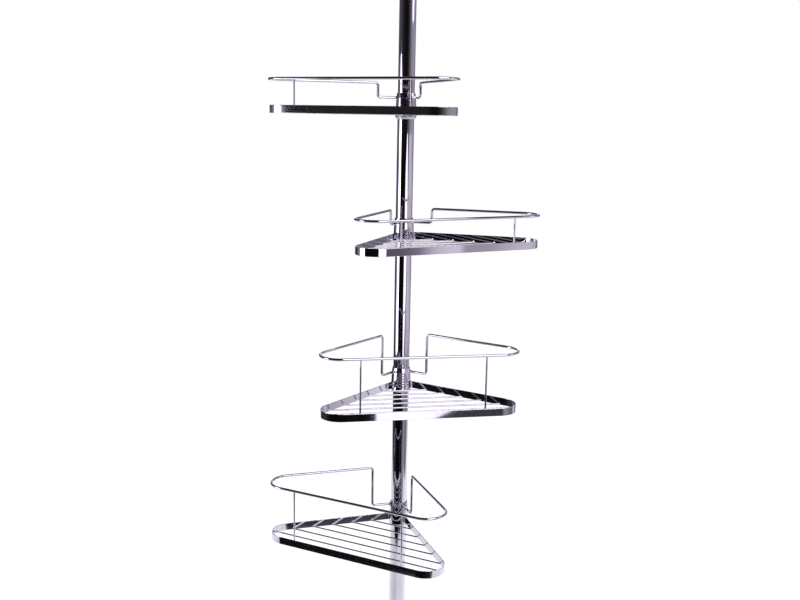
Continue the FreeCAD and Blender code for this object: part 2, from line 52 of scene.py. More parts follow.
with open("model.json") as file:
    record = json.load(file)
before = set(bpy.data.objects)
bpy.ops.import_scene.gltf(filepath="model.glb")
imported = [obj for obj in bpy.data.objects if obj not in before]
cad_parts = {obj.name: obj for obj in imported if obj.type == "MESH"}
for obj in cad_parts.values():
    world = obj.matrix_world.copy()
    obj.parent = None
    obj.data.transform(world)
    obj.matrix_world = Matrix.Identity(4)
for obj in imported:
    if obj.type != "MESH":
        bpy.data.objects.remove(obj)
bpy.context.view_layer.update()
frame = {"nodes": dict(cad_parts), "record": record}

# ---------------------------------------------------------------- sizes of the pole
TUBE_RADIUS = 12.5
TUBE_WALL = 0.9
TUBE_ROUNDING = 0.35
EXTENSION_RADIUS = 11.0
EXTENSION_WALL = 0.8
PLUNGER_RADIUS = 8.0
PLUNGER_WALL = 1.2
FLUTE_COUNT = 18
FLUTE_DEPTH = 1.0
SPRING_RADIUS = 8.2
SPRING_WIRE = 0.9
SPRING_TURNS = 13
SPRING_STEPS = 36
SPRING_SIDES = 10

# ---------------------------------------------------------------- sizes of a basket
RIM_FRONT = 168.0
RIM_APEX = 9.0
RIM_HALF_ANGLE = 46.0
RIM_CORNER = 28.5
RIM_HEIGHT = 11.2
RIM_THICKNESS = 1.2
RIM_ROUNDING = 0.45
RAIL_RADIUS = 2.0
RAIL_END = 25.7
RAIL_DROP = 48.0
RAIL_BEND = 4.5
RAIL_RUN = 3.5
POST_RADIUS = 1.25
POST_SPREAD = 89.0
POST_FOOT = 1.0
GRILL_COUNT = 7
GRILL_RADIUS = 1.15
GRILL_LIFT = 1.4
GRILL_FIRST = 26.0
GRILL_PITCH = 21.9
COLLAR_RADIUS = 15.8
COLLAR_NECK = 14.6
COLLAR_FOOT = 3.0
COLLAR_SHOULDER = 26.0
COLLAR_TOP = 32.5
COLLAR_LIP = 13.75
WEDGE_FOOT = 5.0
WEDGE_TOP = 31.5
WEDGE_FOOT_RADIUS = 14.45
WEDGE_TOP_RADIUS = 13.15
WEDGE_SLIT = 5.0
FIT_GAP = 0.05
WELD_SINK = 0.5
GRILL_FLARE = 0.55
GRILL_WELD = 1.7
RAIL_FLARE = 0.6
RAIL_WELD = 2.2
# Weld beads: where they sit up the rim's ends, and their half sizes along X, Y and Z.
RIM_BEAD_HEIGHTS = (2.4, 5.6, 8.8)
RIM_BEAD = (0.75, 0.75, 1.9)
POST_BEAD = (0.7, 0.6, 4.4)
POST_TOP_BEAD = (1.9, 1.3, 1.2)
SHELVES = ["top", "second", "third", "bottom"]


def low_end(node):
    """Height of a CAD node's lowest point, in millimetres."""
    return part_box(node)[0].z / MM


def high_end(node):
    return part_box(node)[1].z / MM


# ---------------------------------------------------------------- material nodes
class Graph:
    """Adds nodes to a node tree. An input may be a number, a colour or another node's output."""

    def __init__(self, tree):
        self.tree = tree

    def add(self, kind, *values, **settings):
        node = self.tree.nodes.new("ShaderNode" + kind)
        for name, setting in settings.items():
            setattr(node, name, setting)
        for socket, value in zip(node.inputs, values):
            self.feed(socket, value)
        return node

    def feed(self, socket, value):
        if isinstance(value, bpy.types.NodeSocket):
            self.tree.links.new(value, socket)
        elif value is not None:
            socket.default_value = value

    def math(self, operation, *values):
        return self.add("Math", *values, operation=operation).outputs[0]

    def fade(self, value, start, end, low=0.0, high=1.0):
        """low before start, high after end, and a smooth step between."""
        node = self.add("MapRange", value, start, end, low, high, interpolation_type="SMOOTHSTEP")
        return node.outputs[0]

    def mix(self, share, first, second):
        """A colour between two."""
        node = self.add("Mix", data_type="RGBA")
        self.feed(node.inputs["Factor"], share)
        self.feed(node.inputs[6], first)
        self.feed(node.inputs[7], second)
        return node.outputs[2]

    def noise(self, scale, stretch=(1, 1, 1), detail=3.0, roughness=0.55):
        """Noise from 0 to 1 in the object's own space, with scale cycles a metre."""
        place = self.add("TexCoord").outputs["Object"]
        mapping = self.add("Mapping", place)
        mapping.inputs["Scale"].default_value = [scale * s for s in stretch]
        texture = self.add("TexNoise", mapping.outputs[0])
        texture.inputs["Scale"].default_value = 1.0
        texture.inputs["Detail"].default_value = detail
        texture.inputs["Roughness"].default_value = roughness
        return texture.outputs[0]

    def bump(self, height, depth, normal=None):
        """A normal that follows a height from 0 to 1, whose full depth is in millimetres."""
        node = self.add("Bump")
        node.inputs["Strength"].default_value = 1.0
        node.inputs["Distance"].default_value = depth * MM
        self.feed(node.inputs["Height"], height)
        self.feed(node.inputs["Normal"], normal)
        return node.outputs[0]


def new_material(name, metallic, specular=0.5):
    """A Principled material, its graph and its shader."""
    material = bpy.data.materials.new(name)
    material.use_nodes = True
    shader = material.node_tree.nodes["Principled BSDF"]
    shader.inputs["Metallic"].default_value = metallic
    shader.inputs["Specular IOR Level"].default_value = specular
    return material, Graph(material.node_tree), shader


def chrome(name, tint, streaks, wave_scale, wave_depth):
    """Bright plating: faint polishing streaks, wiped smudges, and the waviness of the metal below."""
    material, graph, shader = new_material(name, 1.0)
    smudge = graph.fade(graph.noise(26, detail=4), 0.52, 0.72)
    graph.feed(shader.inputs["Base Color"], graph.mix(smudge, tint, [0.94 * c for c in tint[:3]] + [1]))
    lines = graph.noise(1, streaks, detail=2)
    worn = graph.math("MULTIPLY_ADD", smudge, 0.035, 0.025)
    graph.feed(shader.inputs["Roughness"], graph.math("MULTIPLY_ADD", lines, 0.03, worn))
    wavy = graph.bump(graph.noise(wave_scale, detail=1), wave_depth)
    graph.feed(shader.inputs["Normal"], graph.bump(lines, 0.0001, wavy))
    return material


def plastic(name, colour, roughness, grain):
    """Moulded plastic with a fine grain and slightly uneven colour."""
    material, graph, shader = new_material(name, 0.0)
    cloud = graph.noise(35, detail=2)
    graph.feed(shader.inputs["Base Color"], graph.mix(cloud, colour, [0.9 * c for c in colour[:3]] + [1]))
    speck = graph.noise(2600, detail=2)
    graph.feed(shader.inputs["Roughness"], graph.math("MULTIPLY_ADD", speck, 0.12, roughness - 0.06))
    graph.feed(shader.inputs["Normal"], graph.bump(speck, grain))
    return material


def rubber(name, colour):
    """Matte moulded rubber: pale dust on a dark, finely pitted surface."""
    material, graph, shader = new_material(name, 0.0, specular=0.3)
    dust = graph.fade(graph.noise(60, detail=5, roughness=0.7), 0.5, 0.8)
    dusty = [c + 0.09 for c in colour[:3]] + [1]
    graph.feed(shader.inputs["Base Color"], graph.mix(dust, colour, dusty))
    pits = graph.noise(1800, detail=3)
    graph.feed(shader.inputs["Roughness"], graph.math("MULTIPLY_ADD", pits, 0.2, 0.6))
    graph.feed(shader.inputs["Normal"], graph.bump(pits, 0.04))
    return material


CHROME_TINT = (0.66, 0.655, 0.70, 1)
MATERIALS = {
    "polished_tube": chrome("polished_tube", CHROME_TINT, (700, 700, 9), 9, 0.02),
    "bright_strip": chrome("bright_strip", CHROME_TINT, (11, 11, 1500), 16, 0.06),
    "bright_wire": chrome("bright_wire", (0.58, 0.575, 0.605, 1), (160, 160, 160), 40, 0.01),
    "wedge_plastic": plastic("wedge_plastic", (0.62, 0.61, 0.64, 1), 0.32, 0.008),
    "fitting_plastic": plastic("fitting_plastic", (0.58, 0.58, 0.60, 1), 0.4, 0.012),
    "inner_plastic": plastic("inner_plastic", (0.72, 0.72, 0.69, 1), 0.5, 0.01),
    "pad_rubber": rubber("pad_rubber", (0.035, 0.035, 0.038, 1)),
    "spring_steel": chrome("spring_steel", (0.35, 0.34, 0.33, 1), (400, 400, 400), 60, 0.01),
}


# ---------------------------------------------------------------- ways of making a mesh
def arc_at(before, corner, after, radius, step=ARC_STEP):
    """Points of the arc that rounds a corner, each with its direction of travel.

    A point close to each end of the arc keeps the shading of the flats beside it flat.
    """
    to_before = (before - corner).normalized()
    to_after = (after - corner).normalized()
    half = to_before.angle(to_after) / 2
    centre = corner + (to_before + to_after).normalized() * (radius / math.sin(half))
    first = corner + to_before * (radius / math.tan(half)) - centre
    last = corner + to_after * (radius / math.tan(half)) - centre
    sweep = first.angle(last)
    steps = max(3, math.ceil(math.degrees(sweep) / step))
    stations = []
    for i in range(steps + 1):
        share = i / steps
        spoke = first * math.sin((1 - share) * sweep) + last * math.sin(share * sweep)
        travel = last * math.cos(share * sweep) - first * math.cos((1 - share) * sweep)
        stations.append((centre + spoke / math.sin(sweep), travel.normalized()))
    (start, start_travel), (end, end_travel) = stations[0], stations[-1]
    margin = radius * FLAT_MARGIN
    lead_in = (start - start_travel * margin, start_travel)
    lead_out = (end + end_travel * margin, end_travel)
    return [lead_in] + stations + [lead_out]


def rounded_path(points, radii):
    """Stations of a path through points, with an arc at each inner point."""
    start = (points[1] - points[0]).normalized()
    end = (points[-1] - points[-2]).normalized()
    stations = [(points[0], start)]
    for before, corner, after, radius in zip(points, points[1:], points[2:], radii):
        stations += arc_at(before, corner, after, radius)
    return stations + [(points[-1], end)]


def rounded_outline(corners):
    """A closed outline in two dimensions: each corner is (across, up, rounding)."""
    outline = []
    for i, (across, up, radius) in enumerate(corners):
        corner = Vector((across, up))
        if radius:
            before = Vector(corners[i - 1][:2])
            after = Vector(corners[(i + 1) % len(corners)][:2])
            outline += [point for point, _ in arc_at(before, corner, after, radius, SMALL_ARC_STEP)]
        else:
            outline.append(corner)
    return outline


def circle(radius, sides=WIRE_SIDES):
    return [
        Vector((radius * math.cos(math.tau * i / sides), radius * math.sin(math.tau * i / sides)))
        for i in range(sides)
    ]


def rings_along(stations, section, side):
    """Rings of a bar along a path: the section's first axis starts along side and follows the path."""
    rings = []
    side = Vector(side)
    before = stations[0][1]
    for point, travel in stations:
        side = before.rotation_difference(travel) @ side
        up = travel.cross(side)
        rings.append([point + side * corner.x + up * corner.y for corner in section])
        before = travel
    return rings


class Shell:
    """Vertices and faces of one piece, made of rings of points that are joined in order."""

    def __init__(self):
        self.points = []
        self.faces = []

    def bridge(self, rings, closed=False):
        """Join rings of equal count: closed joins the last to the first, otherwise both ends are capped."""
        count = len(rings[0])
        base = len(self.points)
        for ring in rings:
            self.points += ring
        last = len(rings) if closed else len(rings) - 1
        for i in range(last):
            near = base + i * count
            far = base + ((i + 1) % len(rings)) * count
            for j in range(count):
                k = (j + 1) % count
                self.faces.append((near + j, near + k, far + k, far + j))
        if not closed:
            end = base + (len(rings) - 1) * count
            self.faces.append(tuple(range(base, base + count)))
            self.faces.append(tuple(range(end, end + count)))
        return self

    def turn(self, outline, sides=TUBE_SIDES, scale=None):
        """A full turn of an outline of (radius, height) corners; scale(angle, point) may push it in."""
        rings = []
        for i in range(sides):
            angle = math.tau * i / sides
            ring = []
            for corner in outline:
                reach = corner.x - (scale(angle, corner) if scale else 0)
                ring.append(Vector((reach * math.cos(angle), reach * math.sin(angle), corner.y)))
            rings.append(ring)
        return self.bridge(rings, closed=True)

    def part_turn(self, outline, middle, width, sides=TUBE_SIDES):
        """Part of a turn of an outline, width degrees wide about the angle middle, with closed ends."""
        rings = []
        steps = math.ceil(sides * width / 360)
        for i in range(steps + 1):
            angle = math.radians(middle + width * (i / steps - 0.5))
            rings.append([
                Vector((corner.x * math.cos(angle), corner.x * math.sin(angle), corner.y))
                for corner in outline
            ])
        return self.bridge(rings)

    def bead(self, centre, size, sides=12, levels=6):
        """A weld bead: a smooth blob with half sizes along X, Y and Z."""
        rings = []
        for level in range(1, levels):
            height = math.pi * level / levels
            rings.append([
                centre + Vector((
                    size[0] * math.sin(height) * math.cos(math.tau * i / sides),
                    size[1] * math.sin(height) * math.sin(math.tau * i / sides),
                    size[2] * math.cos(height),
                ))
                for i in range(sides)
            ])
        return self.bridge(rings)

    def place(self, matrix):
        self.points = [matrix @ point for point in self.points]
        return self

    def piece(self, name, nodes, body, slot):
        """The finished piece: it rides on a body and stands for CAD nodes."""
        mesh = bpy.data.meshes.new(name)
        mesh.from_pydata([point * MM for point in self.points], [], self.faces)
        edit = bmesh.new()
        edit.from_mesh(mesh)
        bmesh.ops.remove_doubles(edit, verts=edit.verts, dist=MERGE_DISTANCE)
        bmesh.ops.recalc_face_normals(edit, faces=edit.faces)
        edit.to_mesh(mesh)
        edit.free()
        mesh.polygons.foreach_set("use_smooth", [True] * len(mesh.polygons))
        mesh.set_sharp_from_angle(angle=math.radians(SHARP_ANGLE))
        mesh.materials.append(MATERIALS[slot])
        made = bpy.data.objects.new(name, mesh)
        bpy.context.scene.collection.objects.link(made)
        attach(made, body)
        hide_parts(*nodes)
        return made


# ---------------------------------------------------------------- the pole
def tube_outline(inner, outer, low, high, rounding):
    return rounded_outline([
        (inner, low, rounding), (outer, low, rounding), (outer, high, rounding), (inner, high, rounding),
    ])


def make_tube(name, node, body, radius, wall):
    """A drawn tube with its cut ends rounded over."""
    outline = tube_outline(radius - wall, radius, low_end(node), high_end(node), TUBE_ROUNDING)
    Shell().turn(outline).piece(name, [node], body, "polished_tube")


def make_foot():
    """The moulded foot: a cone with two raised rings and ring grooves under it."""
    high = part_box("foot_pad")[1]
    reach = high.x / MM
    top = high.z / MM
    neck = 16.0
    edge = 4.0
    ring_height = 1.6
    ring_rise = 0.7
    slope = (reach - neck) / (top - edge)
    groove = 1.5
    corners = [(0, 0, 0)]
    for inner in (9.0, 13.0, 17.0):
        outer = inner + 2
        corners += [(inner, 0, 0.3), (inner, groove, 0.2), (outer, groove, 0.2), (outer, 0, 0.3)]
    corners += [(reach, 0, 1.4), (reach, edge, 0.8)]
    for foot in (9.0, 19.0):
        skin = reach - slope * (foot - edge)
        corners += [
            (skin, foot, 0.25),
            (skin + ring_rise - slope * 0.2, foot + 0.2, 0.5),
            (skin + ring_rise - slope * ring_height, foot + ring_height, 0.5),
            (skin - slope * (ring_height + 0.2), foot + ring_height + 0.2, 0.25),
        ]
    corners += [(neck, top, 0.9), (TUBE_RADIUS, top, 0.4), (TUBE_RADIUS, 6, 0), (0, 6, 0)]
    Shell().turn(rounded_outline(corners)).piece("foot", ["foot_pad"], "pole", "pad_rubber")


def make_lock_nut():
    """The lock nut, with its grip flutes run out softly at both ends."""
    low, high = low_end("lock_nut"), high_end("lock_nut")
    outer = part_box("lock_nut")[1].x / MM
    bore = EXTENSION_RADIUS + 0.3
    skirt = TUBE_RADIUS + 2.4
    grip_low, grip_high = low + 3.5, high - 4.5
    levels = [grip_low + (grip_high - grip_low) * i / 12 for i in range(13)]
    corners = [(skirt, low, 0.3), (outer, low, 1.2)]
    corners += [(outer, level, 0) for level in levels]
    corners += [(outer, high, 1.6), (bore, high, 0.5), (bore, high - 5.4, 0), (skirt, high - 27, 0)]

    def flute(angle, corner):
        if corner.x < outer - 0.01 or not grip_low < corner.y < grip_high:
            return 0
        along = (corner.y - grip_low) / (grip_high - grip_low)
        runout = min(1.0, math.sin(math.pi * along) * 2.2)
        valley = max(0.0, math.cos(angle * FLUTE_COUNT))
        return FLUTE_DEPTH * runout * valley

    shell = Shell().turn(rounded_outline(corners), sides=FLUTE_COUNT * 14, scale=flute)
    shell.piece("grip_nut", ["lock_nut"], "lock_nut", "fitting_plastic")


def make_upper_end():
    """The bush on the extension, and the plunger's ceiling cup with its rubber."""
    bush_top = high_end("end_bush")
    bush_foot = high_end("extension_tube")
    bore = PLUNGER_RADIUS + FIT_GAP
    rim = EXTENSION_RADIUS
    Shell().turn(rounded_outline([
        (bore, bush_foot - 27, 0), (EXTENSION_RADIUS - EXTENSION_WALL - FIT_GAP, bush_foot - 27, 0),
        (EXTENSION_RADIUS - EXTENSION_WALL - FIT_GAP, bush_foot, 0), (rim, bush_foot, 0.2),
        (rim, bush_top, 0.9), (bore, bush_top, 0.4),
    ])).piece("extension_bush", ["end_bush"], "extension", "inner_plastic")

    low, high = low_end("ceiling_cup"), high_end("ceiling_cup")
    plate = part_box("ceiling_cup")[1].x / MM
    hub = 12.0
    plate_foot = high - 5
    Shell().turn(rounded_outline([
        (PLUNGER_RADIUS, low, 0.4), (hub, low, 0.8), (hub, plate_foot, 2.2), (plate, plate_foot, 0.9),
        (plate, high, 0), (0, high, 0), (0, low + 10, 0), (PLUNGER_RADIUS, low + 10, 0),
    ])).piece("cup", ["ceiling_cup"], "plunger", "fitting_plastic")

    pad_low, pad_high = low_end("ceiling_pad"), high_end("ceiling_pad")
    pad_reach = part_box("ceiling_pad")[1].x / MM
    Shell().turn(rounded_outline([
        (plate, pad_low, 0.3), (pad_reach, pad_low, 0.7), (pad_reach, pad_high, 1.4), (0, pad_high, 0),
        (0, high, 0), (plate, high, 0),
    ])).piece("cup_rubber", ["ceiling_pad"], "plunger", "pad_rubber")


def make_spring():
    """The coil spring under the plunger, coiled at the CAD spring's length; the real spring shortens as the
    plunger is pushed down, this one keeps its length.
    """
    low, high = low_end("tension_spring"), high_end("tension_spring")
    rise = high - low - 2 * SPRING_WIRE
    lead = rise / (SPRING_TURNS * math.tau)
    steps = SPRING_TURNS * SPRING_STEPS
    stations = []
    for i in range(steps + 1):
        angle = math.tau * SPRING_TURNS * i / steps
        spot = Vector((SPRING_RADIUS * math.cos(angle), SPRING_RADIUS * math.sin(angle),
                       low + SPRING_WIRE + lead * angle))
        travel = Vector((-SPRING_RADIUS * math.sin(angle), SPRING_RADIUS * math.cos(angle), lead))
        stations.append((spot, travel.normalized()))
    shell = Shell().bridge(rings_along(stations, circle(SPRING_WIRE, SPRING_SIDES), (1, 0, 0)))
    spring = shell.piece("coil_spring", ["tension_spring"], "extension", "spring_steel")
    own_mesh(spring)


# ---------------------------------------------------------------- one basket
SIDE_SIN = math.sin(math.radians(RIM_HALF_ANGLE))
SIDE_COS = math.cos(math.radians(RIM_HALF_ANGLE))


def outline_corners(inset, height):
    """The apex, the left and the right corner of the rim's outline moved inwards, were they sharp."""
    apex = RIM_APEX - inset / SIDE_SIN
    front = RIM_FRONT - inset
    half_width = (apex + front) * SIDE_SIN / SIDE_COS
    return (
        Vector((0, apex, height)),
        Vector((-half_width, -front, height)),
        Vector((half_width, -front, height)),
    )


def from_apex(apex, corner, reach):
    """The point on a side of the outline that is reach away from the pole's axis."""
    along = (corner - apex).normalized()
    travel = -apex.y * along.y + math.sqrt(reach ** 2 - (apex.y * along.x) ** 2)
    return apex + along * travel


def collar_radius(height):
    fall = (COLLAR_RADIUS - COLLAR_NECK) / (COLLAR_SHOULDER + COLLAR_FOOT)
    return COLLAR_RADIUS - fall * (height + COLLAR_FOOT)


def make_rim(shelf, matrix, body):
    """The flat strip, bent round both corners, with its two ends welded to the collar."""
    apex, left, right = outline_corners(RIM_THICKNESS / 2, 0)
    reach = collar_radius(RIM_HEIGHT) - WELD_SINK
    corner = RIM_CORNER - RIM_THICKNESS / 2
    path = rounded_path(
        [from_apex(apex, left, reach), left, right, from_apex(apex, right, reach)], [corner, corner])
    half = RIM_THICKNESS / 2
    section = rounded_outline([
        (-half, 0, RIM_ROUNDING), (half, 0, RIM_ROUNDING),
        (half, RIM_HEIGHT, RIM_ROUNDING), (-half, RIM_HEIGHT, RIM_ROUNDING),
    ])
    shell = Shell().bridge(rings_along(path, section, Vector((0, 0, 1)).cross(path[0][1])))
    for edge in (0.05, RIM_THICKNESS - 0.05):
        edge_apex, edge_left, edge_right = outline_corners(edge, 0)
        for edge_corner in (edge_left, edge_right):
            for height in RIM_BEAD_HEIGHTS:
                spot = from_apex(edge_apex, edge_corner, collar_radius(height) + 0.2)
                shell.bead(spot + Vector((0, 0, height)), RIM_BEAD)
    shell.place(matrix).piece(f"{shelf}_rim", [f"{shelf}_rim_strip"], body, "bright_strip")


def wall_at(y, inset):
    """Where a wire at y meets the right wall moved inwards: the point's x and the wall's normal."""
    radius = RIM_CORNER - inset
    centre_y = -(RIM_FRONT - RIM_CORNER)
    centre_x = ((RIM_APEX - centre_y) * SIDE_SIN - RIM_CORNER) / SIDE_COS
    drop = centre_y - y
    if drop < -radius * SIDE_SIN:
        apex = RIM_APEX - inset / SIDE_SIN
        return (apex - y) * SIDE_SIN / SIDE_COS, Vector((SIDE_COS, SIDE_SIN, 0))
    across = math.sqrt(radius ** 2 - drop ** 2)
    return centre_x + across, Vector((across, -drop, 0)).normalized()


def wire_ring(centre, direction, normal, radius):
    """A round wire's section, cut along the plane with that normal instead of square."""
    first = Vector((0, 0, 1))
    second = direction.cross(first).normalized()
    ring = []
    for corner in circle(radius):
        offset = first * corner.x + second * corner.y
        ring.append(centre + offset - direction * (offset.dot(normal) / direction.dot(normal)))
    return ring


def welded_end(wall_point, inwards, normal, radius, flare, length):
    """Rings of a wire's end, from inside the wall to the plain wire: the weld flares out at the wall."""
    rings = [wire_ring(wall_point - inwards * WELD_SINK, inwards, normal, radius + flare)]
    steps = 6
    for i in range(steps + 1):
        share = i / steps
        swell = flare * (1 - math.sqrt(1 - (1 - share) ** 2))
        rings.append(wire_ring(wall_point + inwards * (length * share), inwards, normal, radius + swell))
    return rings


def far_end(rings):
    """A welded end's rings as the last ones of a wire that starts at its other end."""
    return [[ring[(WIRE_SIDES - i) % WIRE_SIDES] for i in range(WIRE_SIDES)] for ring in rings[::-1]]


def make_grill(shelf, matrix, body):
    """Seven parallel wires, each butt-welded to the inside of the rim."""
    shell = Shell()
    across = Vector((1, 0, 0))
    for i in range(GRILL_COUNT):
        y = -GRILL_FIRST - i * GRILL_PITCH
        x, normal = wall_at(y, RIM_THICKNESS)
        left = welded_end(Vector((-x, y, GRILL_LIFT)), across, Vector((-normal.x, normal.y, 0)),
                          GRILL_RADIUS, GRILL_FLARE, GRILL_WELD)
        right = welded_end(Vector((x, y, GRILL_LIFT)), -across, normal,
                           GRILL_RADIUS, GRILL_FLARE, GRILL_WELD)
        shell.bridge(left + far_end(right))
    shell.place(matrix).piece(f"{shelf}_grill", [f"{shelf}_grill_wires"], body, "bright_wire")


def make_rail(shelf, matrix, body, rail_height):
    """The guard rail: round the front, down at the back and in to the collar, welded there."""
    apex, left, right = outline_corners(0, 0)
    low = Vector((0, 0, RAIL_END))
    high = Vector((0, 0, rail_height))
    along_left = (left - apex).normalized()
    along_right = (right - apex).normalized()
    left_root = from_apex(apex, left, COLLAR_NECK) + low
    right_root = from_apex(apex, right, COLLAR_NECK) + low
    points = [
        left_root + along_left * RAIL_RUN,
        apex + along_left * RAIL_DROP + low,
        apex + along_left * RAIL_DROP + high,
        left + high,
        right + high,
        apex + along_right * RAIL_DROP + high,
        apex + along_right * RAIL_DROP + low,
        right_root + along_right * RAIL_RUN,
    ]
    path = rounded_path(points, [RAIL_BEND, RAIL_BEND, RIM_CORNER, RIM_CORNER, RAIL_BEND, RAIL_BEND])
    ends = [
        welded_end(root, along, Vector((root.x, root.y, 0)).normalized(),
                   RAIL_RADIUS, RAIL_FLARE, RAIL_WELD)
        for root, along in ((left_root, along_left), (right_root, along_right))
    ]
    shell = Shell().bridge(ends[0] + rings_along(path, circle(RAIL_RADIUS), (0, 0, 1)) + far_end(ends[1]))
    shell.place(matrix).piece(f"{shelf}_rail", [f"{shelf}_guard_rail"], body, "bright_wire")


def make_posts(shelf, matrix, body, rail_height):
    """Two upright wires inside the rim's front, welded to the rim and under the guard rail."""
    shell = Shell()
    y = -(RIM_FRONT - RIM_THICKNESS - POST_RADIUS + WELD_SINK)
    for x in (-POST_SPREAD, POST_SPREAD):
        foot = Vector((x, y, POST_FOOT))
        rings = []
        for share in (0.0, 0.5, 0.85, 1.0):
            shrink = math.sqrt(1 - (1 - share) ** 2 * 0.97)
            rings.append([foot + Vector((c.x * shrink, c.y * shrink, share)) for c in circle(POST_RADIUS)])
        top = Vector((x, y, rail_height))
        rings.append([top + Vector((c.x, c.y, 0)) for c in circle(POST_RADIUS)])
        shell.bridge(rings)
        for side in (-1, 1):
            shell.bead(Vector((x + side * POST_RADIUS * 0.8, y - 0.6, RIM_HEIGHT / 2)), POST_BEAD)
        shell.bead(Vector((x, y - 0.7, rail_height - RAIL_RADIUS * 0.7)), POST_TOP_BEAD)
    shell.place(matrix).piece(f"{shelf}_posts", [f"{shelf}_rail_posts"], body, "bright_wire")


def wedge_radius(height):
    fall = (WEDGE_FOOT_RADIUS - WEDGE_TOP_RADIUS) / (WEDGE_FOOT + WEDGE_TOP)
    return WEDGE_FOOT_RADIUS - fall * (height + WEDGE_FOOT)


def make_collar(shelf, matrix, basket, wedges):
    """The tapered sleeve, and the two wedge halves inside it."""
    outline = rounded_outline([
        (wedge_radius(-COLLAR_FOOT) + FIT_GAP, -COLLAR_FOOT, 0.2),
        (COLLAR_RADIUS, -COLLAR_FOOT, 0.9),
        (COLLAR_NECK, COLLAR_SHOULDER, 14),
        (COLLAR_LIP, COLLAR_TOP, 0.35),
        (wedge_radius(COLLAR_TOP) + FIT_GAP, COLLAR_TOP, 0.1),
    ])
    shell = Shell().turn(outline).place(matrix)
    shell.piece(f"{shelf}_sleeve", [f"{shelf}_collar"], basket, "polished_tube")
    bore = TUBE_RADIUS + FIT_GAP
    outline = rounded_outline([
        (bore, -WEDGE_FOOT, 0.3), (WEDGE_FOOT_RADIUS, -WEDGE_FOOT, 0.5),
        (WEDGE_TOP_RADIUS, WEDGE_TOP, 0.2), (bore, WEDGE_TOP, 0.2),
    ])
    for side, middle in (("right", 0), ("left", 180)):
        shell = Shell().part_turn(outline, middle, 180 - WEDGE_SLIT).place(matrix)
        shell.piece(f"{shelf}_{side}_wedge", [f"{shelf}_wedge_{side}"], wedges, "wedge_plastic")


def make_basket(shelf):
    """Build a basket where the CAD has it: its posts' middle shows which way it faces."""
    rim_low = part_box(f"{shelf}_rim_strip")[0].z / MM
    rail_high = high_end(f"{shelf}_guard_rail") - RAIL_RADIUS - rim_low
    low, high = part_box(f"{shelf}_rail_posts")
    middle = (low + high) / 2
    turn = math.atan2(middle.x, -middle.y)
    matrix = Matrix.Translation((0, 0, rim_low)) @ Matrix.Rotation(turn, 4, "Z")
    basket = f"{shelf}_basket"
    make_rim(shelf, matrix, basket)
    make_grill(shelf, matrix, basket)
    make_rail(shelf, matrix, basket, rail_high)
    make_posts(shelf, matrix, basket, rail_high)
    make_collar(shelf, matrix, basket, f"{shelf}_wedges")


# ---------------------------------------------------------------- the studio
WHITE = (1, 1, 1, 1)
FLOOR_SIZE = 60.0
# The floor is lifted towards white from here on, in metres from the pole and in brightness,
# so that the foot's own shadow stays.
LIFT_START, LIFT_END = 0.4, 1.1
LIFT_LOW, LIFT_HIGH = 0.1, 0.3
# Edges of the white paper on the floor: each is a direction that points inwards, how far
# along it the edge lies from the pole, and half the width over which it fades, in metres.
PAPER_EDGES = [
    ((0.266, 0.964), -1.496, 0.03), ((0.585, 0.811), -1.53, 0.03), ((-0.389, 0.921), -1.588, 0.04),
    ((1, 0), -2.03, 0.04), ((-1, 0), -2.10, 0.05),
]
# How bright the chrome sees the paper and the room's walls, low down and higher up: azimuth
# from the camera's side with right positive, and brightness. The paper's levels are painted light:
# the floor glows with them in reflections instead of being lit.
PAINTED_PAPER_LIGHT = [
    (-180, 1.0), (-140, 0.95), (-115, 1.10), (-90, 0.95), (-56, 0.80), (-28, 0.74), (0, 0.95),
    (56, 0.98), (84, 1.05), (115, 1.25), (150, 0.95), (180, 1.0),
]
LOW_WALLS = [
    (-180, 1.0), (-170, 1.0), (-162, 0.06), (-120, 0.04), (-84, 0.05), (-70, 0.012), (-56, 0.006),
    (-42, 0.004), (-14, 0.004), (0, 0.005), (14, 0.005), (21, 0.006), (25, 0.055), (34, 0.07), (42, 0.31),
    (56, 0.38), (68, 0.28), (84, 0.20), (100, 0.22), (105, 0.62), (109, 1.0), (118, 0.50), (136, 0.20),
    (162, 0.18), (170, 1.0), (180, 1.0),
]
HIGH_WALLS = [
    (-180, 1.0), (-170, 1.0), (-162, 0.12), (-120, 0.10), (-84, 0.06), (-70, 0.045), (-56, 0.022),
    (-42, 0.014), (-14, 0.006), (0, 0.005), (14, 0.012), (28, 0.05), (42, 0.13), (56, 0.26),
    (70, 0.36), (84, 0.38), (100, 0.42), (120, 0.42), (136, 0.24), (162, 0.20), (170, 1.0), (180, 1.0),
]
PAPER_TINT = (1.0, 0.97, 1.06)
ROOM_TINT = (0.98, 0.90, 1.06)


def ramp_of(graph, value, levels, tint):
    """A colour that follows a value from the first of the levels' places to the last."""
    first, last = levels[0][0], levels[-1][0]
    ramp = graph.add("ValToRGB", graph.add("MapRange", value, first, last).outputs[0])
    stops = ramp.color_ramp.elements
    while len(stops) < len(levels):
        stops.new(0.5)
    for stop, (place, level) in zip(stops, levels):
        stop.position = (place - first) / (last - first)
        stop.color = [level * part for part in tint] + [1]
    return ramp.outputs[0]


def azimuth_of(graph, direction):
    """A direction's azimuth in degrees, from the camera's side with right positive."""
    split = graph.add("SeparateXYZ", direction)
    turn = graph.math("ARCTAN2", split.outputs["X"], graph.math("MULTIPLY", split.outputs["Y"], -1))
    return graph.math("MULTIPLY", turn, 180 / math.pi)


